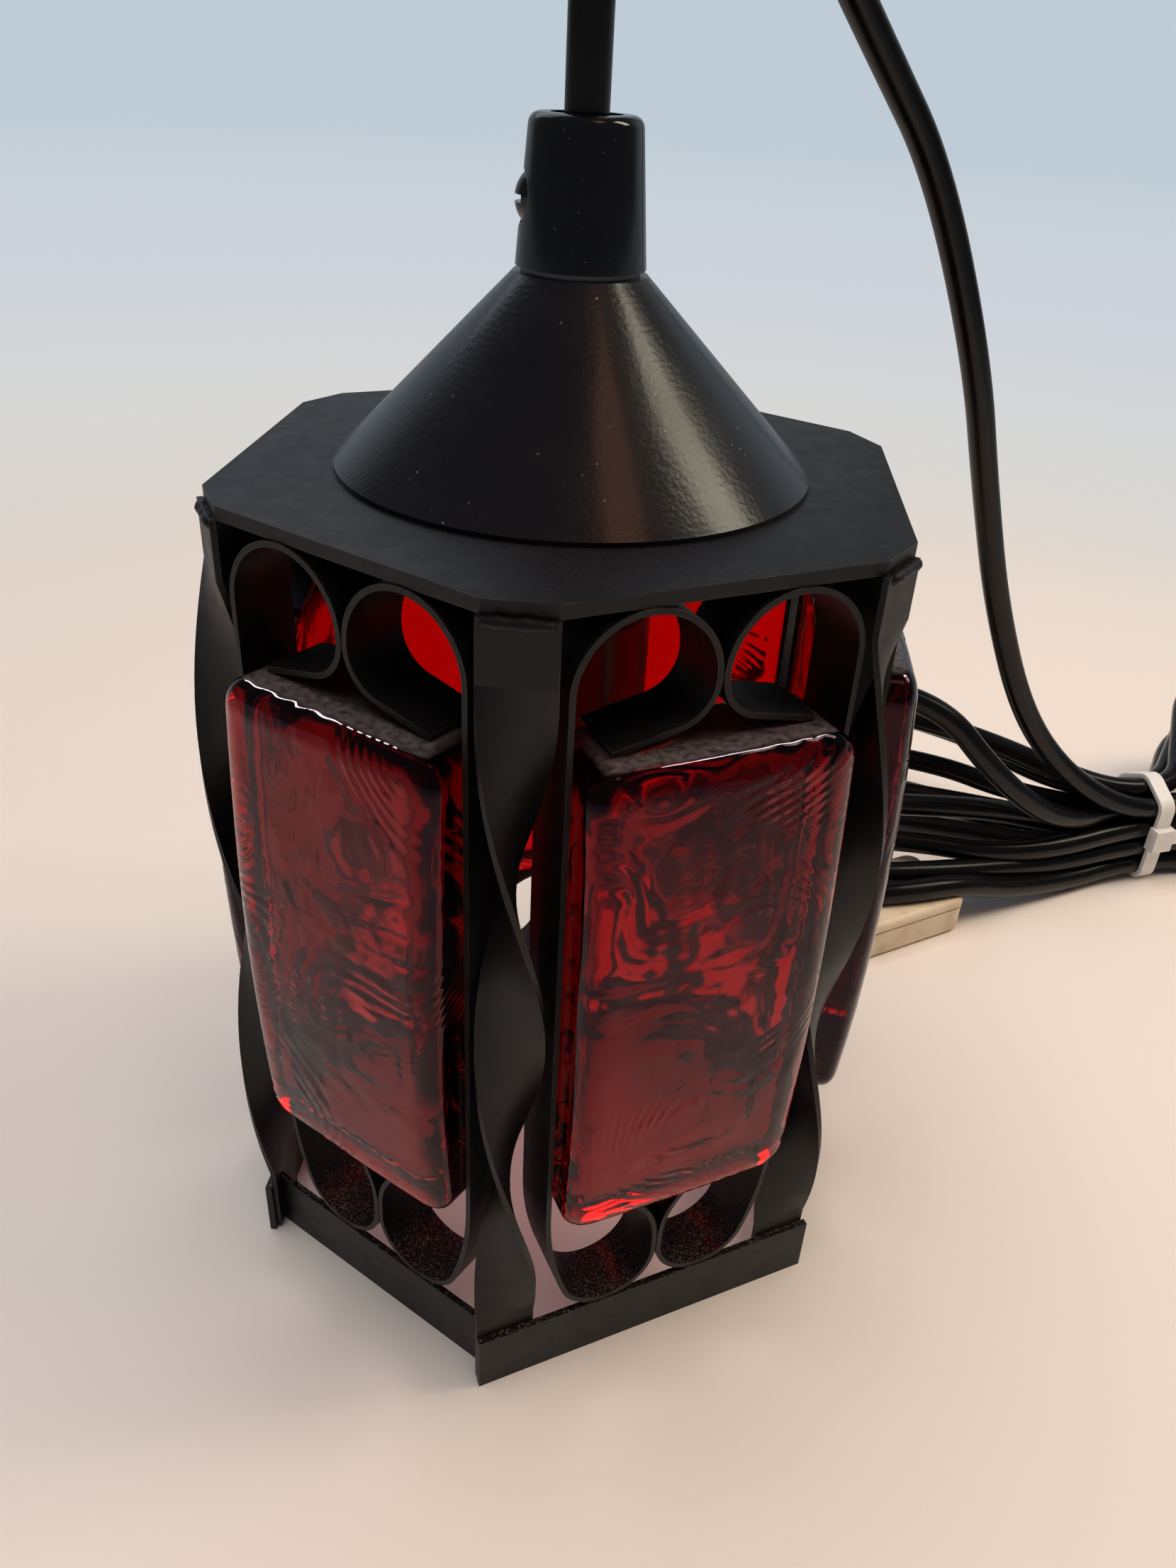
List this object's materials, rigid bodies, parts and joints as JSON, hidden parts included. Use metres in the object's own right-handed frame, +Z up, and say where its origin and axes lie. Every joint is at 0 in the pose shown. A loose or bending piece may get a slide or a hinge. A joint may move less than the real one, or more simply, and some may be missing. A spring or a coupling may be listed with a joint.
{
  "type": "hexagonal pendant lantern",
  "caption": "Wrought-iron hexagonal pendant lantern with cast red glass blocks between scrolled strips, a spun cone on top, and its cable tied in a hank.",
  "frame": {"origin": "on the lantern's axis, in the plane of the ring's underside, which it stands on", "axes": "+Z up along the axis, -Y towards a corner of the cage, +X square to one of its sides"},
  "size_m": [0.2989, 0.2561, 0.2538],
  "materials": {
    "black_iron": "matt black paint over iron strip and plate, worn brown on the edges",
    "spun_cone": "satin black lacquer",
    "ruby_glass": "cast ruby glass with a rippled face",
    "zinc_steel": "zinc plated steel",
    "grip_plastic": "gloss black moulded plastic",
    "holder_bakelite": "black phenolic moulding",
    "holder_ceramic": "white steatite",
    "contact_brass": "nickelled brass",
    "cable_pvc": "soft black PVC",
    "tie_nylon": "white nylon",
    "plug_cream": "cream moulded plastic"
  },
  "bodies": {
    "lantern": {"top_plate": "black_iron", "ring_bar_1": "black_iron", "ring_bar_2": "black_iron", "ring_bar_3": "black_iron", "ring_bar_4": "black_iron", "ring_bar_5": "black_iron", "ring_bar_6": "black_iron", "twisted_strip_1": "black_iron", "twisted_strip_2": "black_iron", "twisted_strip_3": "black_iron", "twisted_strip_4": "black_iron", "twisted_strip_5": "black_iron", "twisted_strip_6": "black_iron", "scroll_1_left": "black_iron", "scroll_1_right": "black_iron", "scroll_2_left": "black_iron", "scroll_2_right": "black_iron", "scroll_3_left": "black_iron", "scroll_3_right": "black_iron", "scroll_4_left": "black_iron", "scroll_4_right": "black_iron", "scroll_5_left": "black_iron", "scroll_5_right": "black_iron", "scroll_6_left": "black_iron", "scroll_6_right": "black_iron", "glass_block_1": "ruby_glass", "glass_block_2": "ruby_glass", "glass_block_3": "ruby_glass", "glass_block_4": "ruby_glass", "glass_block_5": "ruby_glass", "glass_block_6": "ruby_glass", "threaded_nipple": "zinc_steel", "plate_nuts": "zinc_steel", "holder_cap": "holder_bakelite", "holder_core": "holder_ceramic", "thread_shell": "contact_brass", "centre_contact": "contact_brass", "terminal_screws": "contact_brass", "plug_pins": "contact_brass", "lead_wires": "cable_pvc", "inner_cable": "cable_pvc", "cord_tube": "cable_pvc", "cord_hank": "cable_pvc", "cable_tie": "tie_nylon", "plug_body": "plug_cream"},
    "canopy": {"cone_cap": "spun_cone"},
    "washer": {"grip_washer": "zinc_steel"},
    "grip": {"cord_grip": "grip_plastic"},
    "screw": {"grip_screw": "grip_plastic"},
    "skirt": {"holder_skirt": "holder_bakelite"}
  },
  "joints": [
    {"name": "canopy_lift", "type": "slide", "parent": "lantern", "child": "canopy", "axis": [0, 0, 1], "range_m": [0, 0.012]},
    {"name": "washer_turn", "type": "hinge", "parent": "canopy", "child": "washer", "pos_m": [0, 0, 0.1758], "axis": [0, 0, 1], "range_deg": [0, 2160]},
    {"name": "grip_rise", "type": "slide", "parent": "washer", "child": "grip", "axis": [0, 0, 1], "range_m": [0, 0.00605]},
    {"name": "screw_turn", "type": "hinge", "parent": "grip", "child": "screw", "pos_m": [0, 0, 0.1847], "axis": [-0.9903, -0.1392, 0], "range_deg": [0, 720]},
    {"name": "skirt_turn", "type": "hinge", "parent": "lantern", "child": "skirt", "pos_m": [0, 0, 0.112], "axis": [0, 0, -1], "range_deg": [0, 720]}
  ],
  "couplings": [
    {"joint": "grip_rise", "follows": "washer_turn", "m_per_rad": 0.00015915}
  ]
}
